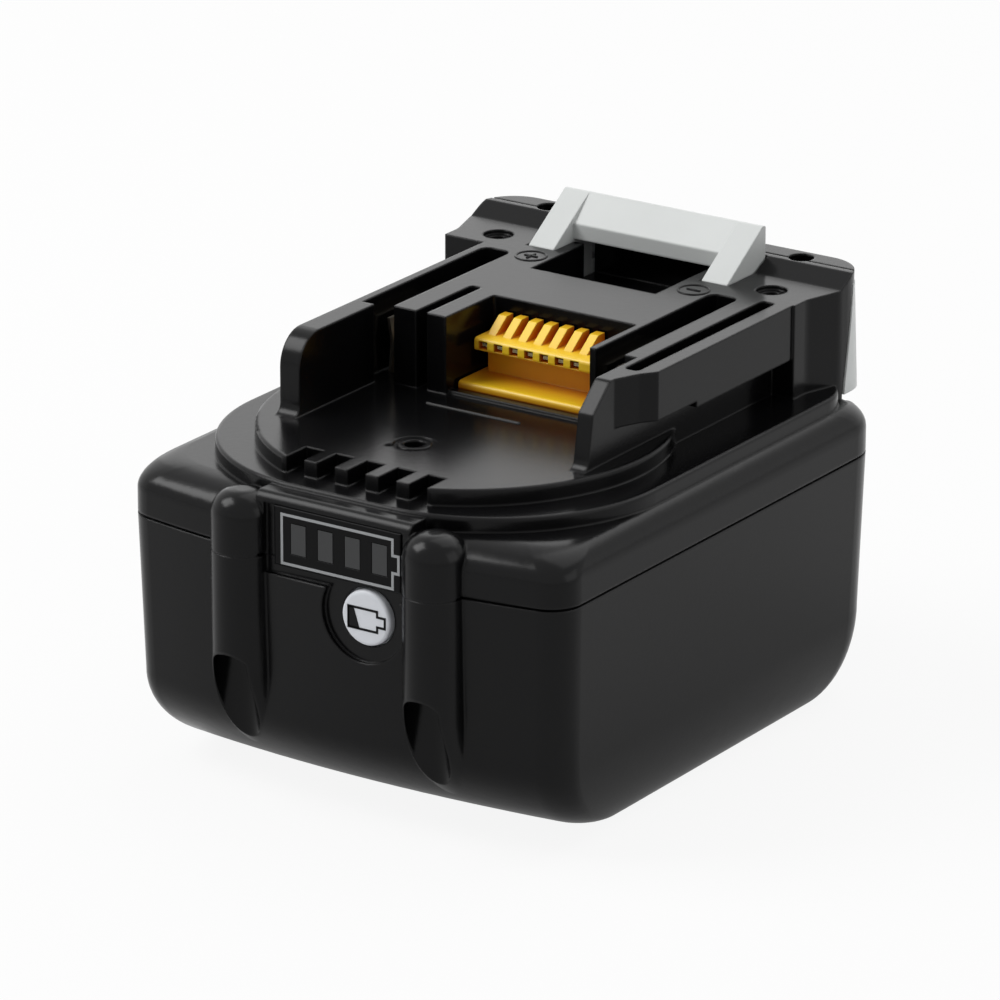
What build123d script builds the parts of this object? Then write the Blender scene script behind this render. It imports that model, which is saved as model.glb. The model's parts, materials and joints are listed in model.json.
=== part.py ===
from build123d import *
import math
import os

# A slide-on battery pack for cordless tools, in millimetres.
# X is the width, Y runs from the gauge face to the release panel, Z is up.
# Places along Y are measured from the middle of the gauge face, and the finished
# pack is moved at the end so that it stands over the origin.

# General
overrun = 1.0
fit_gap = 0.3
press_gap = 0.1

# Case shells
front_corner_radius = 5.0
rear_corner_radius = 8.0
front_bow = 4.0
wall = 2.2
wall_lean = 0.6
base_rounding = 14.0
base_front_run = 25.0
base_inner_run = 16.5
base_side_run = 5.0
base_rear_run = 9.0
bow_fade_share = 0.95
base_corner_growth = -1.5
body_step = 1.4
cap_height = 7.8
cap_rounding_height = 4.0
cap_rounding_front = 6.0
cap_rounding_side = 3.1
rounding_shares = (0, 0.25, 0.5, 0.75, 1)
lip_height = 1.4
lip_thickness = 1.0
seam_groove = 0.4

# Front columns and their screws
column_spacing = 32.8
front_shift = 1.1
column_radius = 4.7
column_reach = 3.1
column_rise = 1.0
column_foot_height = 21.6
column_foot_run = 29.5
column_foot_shares = (0, 0.17, 0.34, 0.5, 0.67)
column_boss_bottom = 8.0
column_dome = 3.6
boss_depth = 2.6
screw_radius = 1.4
screw_head_radius = 2.2
screw_head_height = 2.0
screw_socket_radius = 1.2
screw_socket_depth = 1.2
screw_length = 18.0
front_screw_y = 0.3
front_screw_seat = 25.1
scoop_radius = 3.3
scoop_y = -0.5
scoop_top = 20.8
rear_screw_x = 26.0
rear_screw_y = 85.3
rear_screw_seat = 17.6
rear_boss_meet = 25.6
rear_boss_radius = 3.4
rear_boss_front = 83.0
rear_upper_boss_radius = 2.5

# Gauge insert and check button
gauge_left = -9.2
gauge_right = 12.6
gauge_drop = 1.0
gauge_height = 9.0
gauge_face = 0.3
gauge_thickness = 1.7
gauge_edge_radius = 0.8
bezel_margin = 1.4
recess_left = -10.9
recess_drop = 1.5
bezel_rounding = 1.5
window_count = 4
window_first_x = -4.9
window_pitch = 4.62
window_width = 2.5
window_margin = 2.2
window_height = 4.5
window_gap = 0.1
light_guide_depth = 3.4
well_x = 6.0
well_radius = 6.9
well_floor = 1.1
button_x = 6.6
button_drop = 0.7
button_radius = 4.1
button_face = 0.2
button_edge_radius = 0.5
button_flange_radius = 5.2
button_flange_thickness = 0.6
button_travel = 0.4
switch_size = 4.4
switch_depth = 1.3
plunger_radius = 1.0
gauge_board_thickness = 0.9
gauge_board_left = -8.2
gauge_board_right = 12.6
gauge_board_drop = 8.4
gauge_board_rise = 4.4
gauge_post_radius = 1.5
gauge_post_left = -6.0
gauge_post_right = 10.6
gauge_post_rise = 2.0
led_depth = 1.2
led_width = 2.0
led_height = 1.6
cable_width = 7.0
cable_thickness = 0.4
cable_x = -2.0

# Round platform, deck and its stops
platform_step = 2.2
platform_inset = 2.5
platform_front = 3.8
platform_corner_radius = 27.0
platform_rear = 86.0
platform_rear_radius = 8.0
platform_edge_radius = 0.5
deck_step = 2.5
deck_radius = 30.25
deck_edge_gap = 0.95
deck_front_step = 3.8
notch_count = 5
notch_pitch = 5.25
notch_width = 3.1
notch_length = 4.9
deck_ring_y = 22.0
deck_ring_outer = 3.1
deck_ring_inner = 2.5
deck_ring_depth = 0.4
deck_hole_radius = 1.5
deck_hole_depth = 1.4
dimple_x = -2.7
dimple_y = 19.6
dimple_radius = 0.6
gate_line_left = -8.6
gate_line_right = 7.5
gate_line_y = 37.5
gate_line_size = 0.4
bar_front = 42.9
bar_rear = 44.3
bar_rise = 0.5

# Rails, terminal channels and connector bay
block_step = 11.86
plate_skin = 2.2
block_front = 42.3
hood_front = 74.8
left_outer = 23.7
left_rail_inner = 20.3
left_rail_front = 22.5
left_nose_radius = 5.0
rail_foot_radius = 1.6
left_lip_drop = 4.96
right_rail_inner = 24.4
right_rail_outer = 26.9
right_rail_front = 25.8
right_nose_drop = 3.96
right_nose_rake = 1.3
right_nose_run = 4.4
right_nose_radius = 1.0
flange_outer = 30.3
flange_start = 32.5
flange_knee = 36.4
flange_knee_share = 0.5
flange_full = 38.7
flange_depth = 7.36
flange_thick_depth = 8.26
flange_thick_front = 49.0
channel_left_outer = 22.4
channel_left_inner = 17.5
channel_right_inner = 17.45
channel_right_outer = 22.3
channel_rear = 73.2
slot_outer = 13.6
slot_inner = 11.7
slot_rear = 56.6
core_slot_inner = 25.4
core_slot_outer = 27.8
core_slot_front = 37.2
core_slot_rear = 74.2
core_slot_depth = 6.0
bay_left = 8.4
bay_right = 16.4
bay_rear = 54.7
channel_end_radius = 1.5
slot_end_radius = 0.8
bay_corner_radius = 0.5

# Hood over the latch
hood_half_width = 30.65
hood_flare = 1.9
hood_flare_start = 78.2
hood_flare_end = 84.5
hood_flare_radius = 4.0
hood_rise_start = 84.6
hood_rise_end = 88.2
hood_rise = 1.74
hood_rear = 93.0
hood_corner_radius = 6.5
hood_roof_depth = 1.76
band_thickness = 1.6
band_groove_y = 89.2
band_groove_size = 0.4
window_half_width = 10.9
window_front = 68.2
window_depth = 8.56
window_rear = 82.5
hood_hole_x = 24.0
hood_hole_y = 79.2
hood_hole_radius = 2.3
hood_hole_ledge = 0.7
hood_hole_core_radius = 1.4
hood_hole_depth = 2.6
band_hole_x = 22.2
band_hole_y = 90.3
band_hole_radius = 1.9
pocket_inner_half_width = 28.2
pocket_front = 83.9
pocket_wall = 2.0
pocket_rear_wall = 1.6
well_wall = 1.7

# Release latch, one moulding of hook, shelf and rear panel
latch_travel = 6.3
wing_inner = 13.0
wing_outer = 17.4
wing_front = 77.5
wing_rear = 88.0
hook_front = 82.8
hook_step_rise = 2.74
hook_rise = 6.44
hook_flat = 0.8
hook_edge_radius = 0.4
bar_gap = 0.34
shelf_drop = 4.36
shelf_thickness = 2.2
shelf_front = 84.3
panel_top_drop = 1.9
panel_foot_growth = 0.2
panel_rear = 93.2
panel_foot_rear = 94.0
panel_wall = 1.9
part_top_y = 88.5
part_bottom_y = 85.7
grip_count = 3
grip_pitch = 3.2
grip_rise = 3.2
grip_radius = 0.8
grip_half_width = 18.0

# Latch springs
spring_x = 22.0
spring_y = 86.15
spring_wire_radius = 0.3
spring_radius = 1.75
spring_turns = 8
spring_end_gap = 0.05
spring_pin_radius = 1.0
spring_pin_height = 2.4

# Cells and their frames
cell_radius = 9.15
cell_length = 65.0
cell_spacing = 0.5
cell_rows = 4
cell_layers = 2
cell_front_space = 4.8
cell_rear_space = 5.1
cell_side_space = 0.8
floor_rib_height = 1.25
board_stand_height = 1.05
cell_edge_radius = 0.8
cell_cap_radius = 3.2
cell_cap_height = 0.9
cell_groove_radius = 0.5
cell_groove_place = 3.6
frame_margin = 0.5
frame_depth = 10.5
frame_ease_radius = 1.0
rib_inner = 23.0
rib_outer = 25.4
rib_front = 16.0
rib_rear = 74.0
strip_thickness = 0.3
strip_half_width = 4.2
strip_corner_radius = 1.5
strip_slit_width = 0.8
strip_slit_length = 6.0
tab_width = 4.0
ring_thickness = 0.25
ring_outer = 8.6
ring_bore = 4.0
sheet_thickness = 0.3
sheet_margin = 2.0
pad_thickness = 1.4
pad_length = 24.0
pad_bottom = 15.6
pad_top = 31.6

# Main board and what stands on it
board_half_width = 26.0
board_front = 12.0
board_rear = 68.0
board_thickness = 1.6
board_chamfer = 8.0
stand_x = 24.2
stand_radius = 1.75
board_screw_radius = 0.9
board_screw_head_radius = 1.7
board_screw_head_height = 1.0
board_screw_length = 6.0
chip_height = 1.2
chip_sides = ((10.0, 10.0), (7.0, 5.0), (7.0, 5.0), (5.0, 4.0), (4.0, 5.0))
chip_place_shares = ((-0.1, 0.3), (0.55, 0.25), (0.55, 0.9), (-0.6, 0.15), (-0.35, 0.6))
fuse_length = 10.0
fuse_width = 4.0
fuse_height = 2.4
fuse_y = 31.0
fuse_x = -19.0
probe_radius = 1.2
probe_length = 9.0
lead_radius = 0.5
terminal_sheet = 0.5
terminal_spread = 1.5
terminal_pinch = 0.6
terminal_pinch_drop = 7.06
terminal_lip = 1.2
terminal_front = 46.5
terminal_rear = 60.5
terminal_top_drop = 3.76
terminal_bend_drop = 0.7

# Connector block and its contacts
shelf_left = -8.0
connector_right = 15.9
jaw_left = -6.9
connector_shelf_front = 44.9
connector_shelf_rise = 1.5
connector_shelf_thickness = 1.5
connector_foot_front = 51.0
connector_rear = 54.3
jaw_front = 47.4
jaw_rise = 5.6
jaw_lip_height = 2.0
jaw_height = 4.2
jaw_slope_end = 52.6
jaw_edge_radius = 0.6
end_wall = 1.6
contact_count = 7
contact_first_x = -5.4
contact_pitch = 2.64
contact_slot_width = 1.5
contact_slot_height = 1.2
contact_slot_depth = 4.0
contact_width = 0.9
contact_height = 0.5
contact_set_back = 0.5
fin_width = 1.4
fin_front = 49.6

# Sizes that follow from the ones above: the cells first, and the case round them
cell_pitch = 2 * cell_radius + cell_spacing
frame_radius = cell_radius + frame_margin
frame_bottom = wall + floor_rib_height
row_ys = [wall + cell_front_space + frame_radius + cell_pitch * row for row in range(cell_rows)]
layer_zs = [frame_bottom + frame_radius + cell_pitch * layer for layer in range(cell_layers)]
end_stack = strip_thickness + sheet_thickness + pad_thickness
half_case = cell_length / 2 + end_stack + cell_side_space + wall
frame_top = layer_zs[-1] + frame_radius
frame_front = row_ys[0] - frame_radius
frame_rear = row_ys[-1] + frame_radius
case_length = frame_rear + cell_rear_space + wall
half_cell = cell_length / 2
board_bottom = frame_top + board_stand_height
board_top = board_bottom + board_thickness
body_top = board_top + body_step
seam_height = body_top - cap_height
column_top = body_top + column_rise
platform_height = body_top + platform_step
platform_half_width = half_case - platform_inset
deck_height = platform_height + deck_step
deck_center = platform_front + deck_edge_gap + deck_radius
deck_front = platform_front + deck_front_step
notch_rear = deck_front + notch_length
plate_height = deck_height + block_step
left_lip_top = plate_height - left_lip_drop
right_nose_low = plate_height - right_nose_drop
flange_underside = plate_height - flange_depth
flange_thick_underside = plate_height - flange_thick_depth
hood_top = plate_height + hood_rise
hood_roof_underside = plate_height - hood_roof_depth
band_underside = hood_top - band_thickness
window_floor = plate_height - window_depth
hook_step = plate_height + hook_step_rise
hook_top = plate_height + hook_rise
shelf_top = plate_height - shelf_drop
shelf_bottom = shelf_top - shelf_thickness
panel_top = hood_top - panel_top_drop
panel_bottom = body_top + fit_gap
panel_half_width = hood_half_width + hood_flare
pocket_floor = panel_bottom - latch_travel - fit_gap
pocket_half_width = panel_half_width + panel_foot_growth + fit_gap
shelf_half_width = pocket_inner_half_width - 2 * fit_gap
grip_first = panel_bottom + grip_rise
gauge_bottom = seam_height - gauge_drop
gauge_top = gauge_bottom + gauge_height
window_bottom = gauge_bottom + window_margin
window_top = window_bottom + window_height
button_height = gauge_bottom - button_drop - button_radius
gauge_board_bottom = button_height - gauge_board_drop
gauge_board_top = gauge_bottom + gauge_board_rise
gauge_post_height = gauge_board_bottom + gauge_post_rise
terminal_pinch_height = plate_height - terminal_pinch_drop
terminal_top = plate_height - terminal_top_drop
terminal_bend_height = deck_height - terminal_bend_drop
connector_shelf_top = deck_height + connector_shelf_rise
jaw_bottom = deck_height + jaw_rise
jaw_lip_top = jaw_bottom + jaw_lip_height
jaw_top = jaw_bottom + jaw_height
deck_skin = deck_height - wall
column_xs = [front_shift - column_spacing / 2, front_shift + column_spacing / 2]
column_y = column_radius - column_reach
stand_ys = [(row_ys[0] + row_ys[1]) / 2, (row_ys[-2] + row_ys[-1]) / 2]
pack_middle = (panel_foot_rear - column_reach) / 2


def box(x0, x1, y0, y1, z0, z1):
    """A block between six planes."""
    return Pos((x0 + x1) / 2, (y0 + y1) / 2, (z0 + z1) / 2) * Box(x1 - x0, y1 - y0, z1 - z0)


def rod(x, y, z0, z1, radius):
    """An upright cylinder between two heights."""
    return Pos(x, y, (z0 + z1) / 2) * Cylinder(radius, z1 - z0)


def rod_x(x0, x1, y, z, radius):
    """A cylinder lying across the width."""
    return Pos((x0 + x1) / 2, y, z) * Rot(0, 90, 0) * Cylinder(radius, x1 - x0)


def rod_y(x, y0, y1, z, radius):
    """A cylinder lying along the pack."""
    return Pos(x, (y0 + y1) / 2, z) * Rot(90, 0, 0) * Cylinder(radius, y1 - y0)


def outline(points, roundings=()):
    """A closed outline, with some of its corners rounded."""
    face = make_face(Polyline(*points, close=True))
    for point, radius in roundings:
        corner = face.vertices().sort_by_distance((point[0], point[1], 0))[0]
        face = fillet(corner, radius)
    return face


def prism_x(x0, x1, points, roundings=()):
    """A side-view outline of (y, z) points, extruded across the width."""
    solid = extrude(Plane.YZ * outline(points, roundings), x1 - x0)
    return Pos(x0, 0, 0) * solid


def prism_y(y0, y1, points, roundings=()):
    """A front-view outline of (x, z) points, extruded along the pack."""
    solid = extrude(Plane.XZ * outline(points, roundings), y0 - y1)
    return Pos(0, y0, 0) * solid


def prism_z(z0, z1, points, roundings=()):
    """A plan outline of (x, y) points, extruded upwards."""
    return Pos(0, 0, z0) * extrude(outline(points, roundings), z1 - z0)


def mirrored(shape):
    """The same shape on the other side of the pack."""
    return mirror(shape, about=Plane.YZ)


def both_sides(shape):
    return shape + mirrored(shape)


# Case outline and shells

def case_outline(inset, front=0, side=0, rear=0, growth=0, bow_share=1):
    """The plan of the case, moved in by an inset and further on single sides."""
    half = half_case - inset - side
    near = inset + front
    far = case_length - inset - rear
    corner = near + front_bow * bow_share
    bow = ThreePointArc((-half, corner), (0, near), (half, corner))
    sides = Polyline((half, corner), (half, far), (-half, far), (-half, corner))
    face = make_face(bow.edges() + sides.edges())
    corners = face.vertices().sort_by(Axis.Y)
    face = fillet(corners[:2], front_corner_radius - inset + growth)
    corners = face.vertices().sort_by(Axis.Y)[-2:]
    return fillet(corners, rear_corner_radius - inset + growth)


def tub_form(inset, top):
    """The lower case's outer form, or the space inside it, up to a level."""
    sections = []
    height = base_rounding - inset
    front_run = base_front_run + (base_inner_run - base_front_run) * inset / wall
    for share in rounding_shares:
        turn = share * math.pi / 2
        away = 1 - math.cos(turn)
        run = away * height / base_rounding
        face = case_outline(inset, wall_lean + front_run * away, wall_lean + base_side_run * run,
                            wall_lean + base_rear_run * run, base_corner_growth * away,
                            1 - bow_fade_share * away)
        sections.append(Pos(0, 0, base_rounding - height * math.sin(turn)) * face)
    rim = Pos(0, 0, seam_height) * case_outline(inset)
    form = loft(sections) + loft([sections[0], rim], ruled=True)
    if top > seam_height:
        form += Pos(0, 0, seam_height) * extrude(case_outline(inset), top - seam_height)
    return form


def cap_form(inset, bottom):
    """The upper case's outer form, or the space inside it, from a level up."""
    height = cap_rounding_height - inset
    start = body_top - cap_rounding_height
    side = cap_rounding_side - inset
    front = cap_rounding_front - inset
    sections = []
    for share in rounding_shares:
        turn = share * math.pi / 2
        away = 1 - math.cos(turn)
        face = case_outline(inset, front * away, side * away, side * away, side * away)
        sections.append(Pos(0, 0, start + height * math.sin(turn)) * face)
    straight = Pos(0, 0, bottom) * extrude(case_outline(inset), start - bottom)
    return straight + loft(sections)


def rear_keep_out():
    """Where the upper case stays closed in front of and under the latch pocket."""
    front = pocket_front - pocket_wall
    return box(-half_case, half_case, front, case_length + overrun, seam_height, hood_top)


# Front columns, scoops and screws

def columns(bottom, top):
    """The two rounded columns on the front, between two levels."""
    shape = None
    for x in column_xs:
        column = rod(x, column_y, bottom, top, column_radius)
        column -= box(x - column_radius, x + column_radius, column_y + boss_depth,
                      column_y + column_radius + overrun, bottom - overrun, top + overrun)
        shape = column if shape is None else shape + column
    return shape


def column_fronts():
    """The columns on the lower case, whose feet curve back into the rounded front edge."""
    shape = columns(column_foot_height, seam_height)
    for x in column_xs:
        sections = []
        for share in column_foot_shares:
            turn = share * math.pi / 2
            y = column_y + column_foot_run * (1 - math.cos(turn))
            z = column_foot_height * (1 - math.sin(turn))
            sections.append(Pos(x, y, z) * Circle(column_radius))
        shape += loft(sections)
    return shape


def domed_columns():
    """The upper ends of the columns, with rounded tops."""
    shape = None
    for x in column_xs:
        column = rod(x, column_y, seam_height, column_top, column_radius)
        top = column.faces().sort_by(Axis.Z)[-1]
        column = fillet(top.edges(), column_dome)
        shape = column if shape is None else shape + column
    return shape


def scoops():
    """Round-topped grooves in the columns' feet that let the screws in."""
    shape = None
    for x in column_xs:
        groove = rod(x, scoop_y, -overrun, scoop_top, scoop_radius)
        groove += Pos(x, scoop_y, scoop_top) * Sphere(scoop_radius)
        groove += rod(x, front_screw_y, scoop_top, front_screw_seat, screw_head_radius + 2 * press_gap)
        shape = groove if shape is None else shape + groove
    return shape


def screw_places():
    """Each case screw's x, y and the height that its head is pulled up to."""
    places = [(x, front_screw_y, front_screw_seat) for x in column_xs]
    places += [(x, rear_screw_y, rear_screw_seat) for x in (-rear_screw_x, rear_screw_x)]
    return places


def screw_bores():
    """The holes for the case screws' shanks."""
    shape = None
    for x, y, seat in screw_places():
        hole = rod(x, y, seat - overrun, seat + screw_length + fit_gap, screw_radius + press_gap)
        shape = hole if shape is None else shape + hole
    return shape


def case_screws():
    shape = []
    for x, y, seat in screw_places():
        screw = rod(x, y, seat - screw_head_height, seat, screw_head_radius)
        screw = fillet(screw.edges().sort_by(Axis.Z)[0], screw_head_height / 3)
        screw += rod(x, y, seat, seat + screw_length, screw_radius)
        under = seat - screw_head_height
        screw -= rod(x, y, under - overrun, under + screw_socket_depth, screw_socket_radius)
        shape.append(screw)
    return Compound([part.solid() for part in shape])


# Gauge opening

def gauge_opening(gap):
    """The block of space that the gauge insert fills."""
    return box(gauge_left - gap, gauge_right + gap, -overrun, gauge_thickness + gauge_face,
               gauge_bottom - gap, gauge_top + gap)


def gauge_light_gap():
    """The passage behind the insert, for the windows and the board."""
    return box(gauge_left + bezel_margin, gauge_right - bezel_margin, 0, frame_front,
               gauge_bottom + bezel_margin, gauge_top - bezel_margin)


def window_blocks(gap, front, rear):
    """The four gauge windows, or the holes for them."""
    shape = []
    for index in range(window_count):
        x = window_first_x + window_pitch * index
        half = window_width / 2 + gap
        shape.append(box(x - half, x + half, front, rear, window_bottom - gap, window_top + gap))
    return shape


# Lower case

def lower_case():
    inner = tub_form(wall, seam_height + lip_height + overrun)
    shape = tub_form(0, seam_height)
    shape += column_fronts()
    lip = extrude(case_outline(wall - lip_thickness), lip_height)
    lip = Pos(0, 0, seam_height) * lip - rear_keep_out()
    shape = shape + lip - inner
    shape += lower_bosses()
    shape += both_sides(box(rib_inner, rib_outer, rib_front, rib_rear, wall - press_gap, frame_bottom))
    shape += gauge_posts()
    shape -= scoops()
    shape -= screw_bores()
    for x in (-rear_screw_x, rear_screw_x):
        shape -= rod(x, rear_screw_y, -overrun, rear_screw_seat, screw_head_radius + 2 * press_gap)
    shape -= gauge_opening(press_gap)
    shape -= gauge_light_gap()
    shape -= button_well()
    shape -= rod_y(button_x, wall, frame_front, button_height, button_flange_radius + fit_gap)
    shape -= rod_y(button_x, 0, wall + overrun, button_height, button_radius + fit_gap)
    return shape


def button_well():
    """The round hollow in the wall round the button, which runs into the gauge's recess."""
    well = rod_y(well_x, -overrun, well_floor, button_height, well_radius)
    return well + box(recess_left, gauge_right + fit_gap, -overrun, well_floor,
                      gauge_bottom - recess_drop, gauge_top)


def lower_bosses():
    """Screw bosses: behind the columns and in the rear corners."""
    inside = tub_form(wall / 2, seam_height)
    shape = columns(column_boss_bottom, seam_height) & inside
    rear = rod(rear_screw_x, rear_screw_y, 0, rear_boss_meet, rear_boss_radius)
    rear += box(rear_screw_x - rear_boss_radius, rear_screw_x + rear_boss_radius, rear_screw_y,
                case_length - wall, 0, rear_boss_meet)
    rear -= box(0, half_case, rear_screw_y - 2 * rear_boss_radius, rear_boss_front,
                -overrun, rear_boss_meet + overrun)
    return shape + (both_sides(rear) & inside)


def gauge_posts():
    """Short posts on the front wall that carry the gauge board."""
    shape = None
    for x in (gauge_post_left, gauge_post_right):
        post = rod_y(x, wall - press_gap, gauge_board_front(), gauge_post_height, gauge_post_radius)
        shape = post if shape is None else shape + post
    return shape


def gauge_board_front():
    return wall + press_gap + button_flange_thickness + button_travel + press_gap + switch_depth


# Upper case

def platform_outline(inset):
    half = platform_half_width - inset
    front = platform_front + inset
    rear = platform_rear
    face = make_face(Polyline((-half, front), (half, front), (half, rear), (-half, rear), close=True))
    corners = face.vertices().sort_by(Axis.Y)
    face = fillet(corners[:2], platform_corner_radius - inset)
    return fillet(face.vertices().sort_by(Axis.Y)[-2:], platform_rear_radius)


def platform():
    """The round-fronted step that carries the deck."""
    start = body_top - cap_rounding_height
    shape = Pos(0, 0, start) * extrude(platform_outline(0), platform_height - start)
    top = shape.faces().sort_by(Axis.Z)[-1]
    return fillet(top.edges(), platform_edge_radius)


def deck():
    """The round deck with its flat front and five notches."""
    shape = rod(0, deck_center, platform_height - overrun, deck_height, deck_radius)
    shape = fillet(shape.edges().sort_by(Axis.Z)[-1], platform_edge_radius)
    low = platform_height
    shape -= box(-deck_radius, deck_radius, deck_center - deck_radius - overrun, deck_front,
                 low, deck_height + overrun)
    for index in range(notch_count):
        x = notch_pitch * (index - (notch_count - 1) / 2)
        shape -= box(x - notch_width / 2, x + notch_width / 2, 0, notch_rear,
                     low, deck_height + overrun)
    return shape


def deck_marks():
    """The shallow ring, hole and dimple on the deck."""
    top = deck_height + overrun
    low = deck_height - deck_ring_depth
    shape = rod(0, deck_ring_y, low, top, deck_ring_outer)
    shape -= rod(0, deck_ring_y, low - overrun, top + overrun, deck_ring_inner)
    shape += rod(0, deck_ring_y, deck_height - deck_hole_depth, top, deck_hole_radius)
    shape += rod(dimple_x, dimple_y, low, top, dimple_radius)
    return shape


def rail_outline(front, rear, low, nose):
    """A rail's side view, whose foot runs out onto the deck."""
    toe = front - 2 * rail_foot_radius
    sunk = low - wall / 2
    return [(toe, sunk), (toe, low), (front, low)] + nose + [(rear, plate_height), (rear, sunk)]


def left_rail():
    front = left_rail_front
    corner = (front, plate_height)
    points = rail_outline(front, block_front + overrun, deck_height, [corner])
    rounded = ((corner, left_nose_radius), ((front, deck_height), rail_foot_radius))
    return prism_x(-left_outer, -left_rail_inner, points, rounded)


def right_rail():
    front = right_rail_front
    low = (front + right_nose_rake, right_nose_low)
    high = (low[0] + right_nose_run, plate_height)
    points = rail_outline(front, block_front + overrun, deck_height, [low, high])
    rounded = (
        (low, right_nose_radius),
        (high, right_nose_radius),
        ((front, deck_height), rail_foot_radius),
    )
    return prism_x(right_rail_inner, right_rail_outer, points, rounded)


def flange_plan(outer, edge, rear):
    """The plan of a guide flange, with its lead-in at the front."""
    knee = edge + (outer - edge) * flange_knee_share
    return [(edge - overrun, flange_start), (edge, flange_start), (knee, flange_knee),
            (outer, flange_full), (outer, rear), (edge - overrun, rear)]


def flanges():
    """The guide flanges on both sides of the rail block."""
    plan = flange_plan(flange_outer, right_rail_outer, hood_front + overrun)
    shape = prism_z(flange_underside, plate_height, plan)
    shape += box(right_rail_inner, flange_outer, flange_thick_front, hood_front + overrun,
                 flange_thick_underside, plate_height)
    plan = flange_plan(flange_outer, left_outer, hood_front + overrun)
    return shape + mirrored(prism_z(flange_thick_underside, left_lip_top, plan))


def rail_block():
    """The raised block that the channels are cut into."""
    low = platform_height - overrun
    shape = box(-left_outer, right_rail_outer, block_front, hood_front + overrun, low, plate_height)
    shape += left_rail() + right_rail() + flanges()
    core = box(core_slot_inner, core_slot_outer, core_slot_front, core_slot_rear,
               plate_height - core_slot_depth, plate_height + overrun)
    shape -= fillet(core.edges().filter_by(Axis.Z), slot_end_radius)
    for left, right, front, rear, radius in channel_places():
        cut = box(left, right, front, rear, deck_height, plate_height + overrun)
        shape -= fillet(cut.edges().filter_by(Axis.Z).group_by(Axis.Y)[-1], radius)
    return shape


def channel_places():
    """Left, right, front, rear and corner radius of each channel that is open at the front."""
    front = block_front - overrun
    return [
        (-channel_left_outer, -channel_left_inner, front, channel_rear, channel_end_radius),
        (channel_right_inner, channel_right_outer, front, channel_rear, channel_end_radius),
        (-slot_outer, -slot_inner, front, slot_rear, slot_end_radius),
        (-bay_left, bay_right, front, bay_rear, bay_corner_radius),
    ]


def hood_plan(rear, flare_half, inset=0):
    """The hood's plan, which widens towards its rounded rear corners."""
    half = hood_half_width - inset
    points = [(-half, hood_front), (half, hood_front), (half, hood_flare_start),
              (flare_half, hood_flare_end), (flare_half, rear), (-flare_half, rear),
              (-flare_half, hood_flare_end), (-half, hood_flare_start)]
    corners = [(point, hood_corner_radius - inset) for point in points[4:6]]
    eased = [(points[index], hood_flare_radius) for index in (2, 3, 6, 7)]
    return points, corners + eased


def hood():
    """The raised rear part over the latch, rising towards its rear band."""
    points, corners = hood_plan(hood_rear, hood_half_width + hood_flare)
    low = body_top - overrun
    shape = prism_z(low, hood_top, points, corners)
    above = hood_top + overrun
    shape -= prism_x(-half_case, half_case, [
        (hood_front - overrun, plate_height), (hood_rise_start, plate_height),
        (hood_rise_end, hood_top), (hood_rise_end, above), (hood_front - overrun, above),
    ])
    edge = panel_foot_rear + overrun
    shape -= box(-half_case, half_case, band_groove_y, band_groove_y + band_groove_size,
                 hood_top - band_groove_size, above)
    shape -= box(-half_case, half_case, case_length, edge, low - overrun, panel_bottom)
    return shape


def parting_cut(gap):
    """All that lies behind the slanting line where the release panel starts."""
    slope = (part_top_y - part_bottom_y) / (panel_top - panel_bottom)
    low = part_bottom_y - gap
    high = low + slope * (band_underside - panel_bottom)
    rear = panel_foot_rear + overrun
    return prism_x(-half_case - overrun, half_case + overrun, [
        (low, panel_bottom), (high, band_underside), (rear, band_underside), (rear, panel_bottom),
    ])


def latch_well_wall(x_gap, y_gap):
    """The outside of the closed box round the window and the crossbar's slot."""
    return box(-wing_inner + x_gap, wing_inner - x_gap, pocket_front - pocket_wall,
               wing_rear + fit_gap + well_wall + y_gap, window_floor - well_wall, hood_top)


def latch_pocket():
    """The space in which the latch slides, open to the rear and at its slots."""
    rear = panel_foot_rear + overrun
    inner = pocket_inner_half_width
    shape = box(-inner, inner, pocket_front, case_length - pocket_rear_wall,
                pocket_floor, hood_roof_underside)
    shape += box(-inner, inner, pocket_front, rear, body_top, hood_roof_underside)
    shape += both_sides(box(inner, pocket_half_width, part_bottom_y - fit_gap, rear,
                            pocket_floor, panel_bottom))
    return shape + parting_cut(fit_gap) - latch_well_wall(fit_gap, 0)


def latch_slots():
    """The slots in the hood for the wings and the crossbar, and the window."""
    side = wing_outer + fit_gap
    low = shelf_bottom - latch_travel - fit_gap
    above = hook_top
    rear = wing_rear + fit_gap
    shape = both_sides(box(wing_inner - fit_gap, side, wing_front - fit_gap, rear, low, above))
    under = plate_height + bar_gap - latch_travel - fit_gap
    shape += box(-wing_inner, wing_inner, window_rear, rear, under, above)
    return shape + box(-window_half_width, window_half_width, window_front, window_rear + overrun,
                       window_floor, above)


def hood_holes():
    """The stepped holes in the hood and the plain ones in its rear band."""
    above = hood_top + overrun
    ledge = plate_height - hood_hole_ledge
    low = plate_height - hood_hole_depth
    shape = rod(hood_hole_x, hood_hole_y, ledge, above, hood_hole_radius)
    shape += rod(hood_hole_x, hood_hole_y, low, above, hood_hole_core_radius)
    shape += rod(band_hole_x, band_hole_y, band_underside - overrun, above, band_hole_radius)
    return both_sides(shape)


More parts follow.
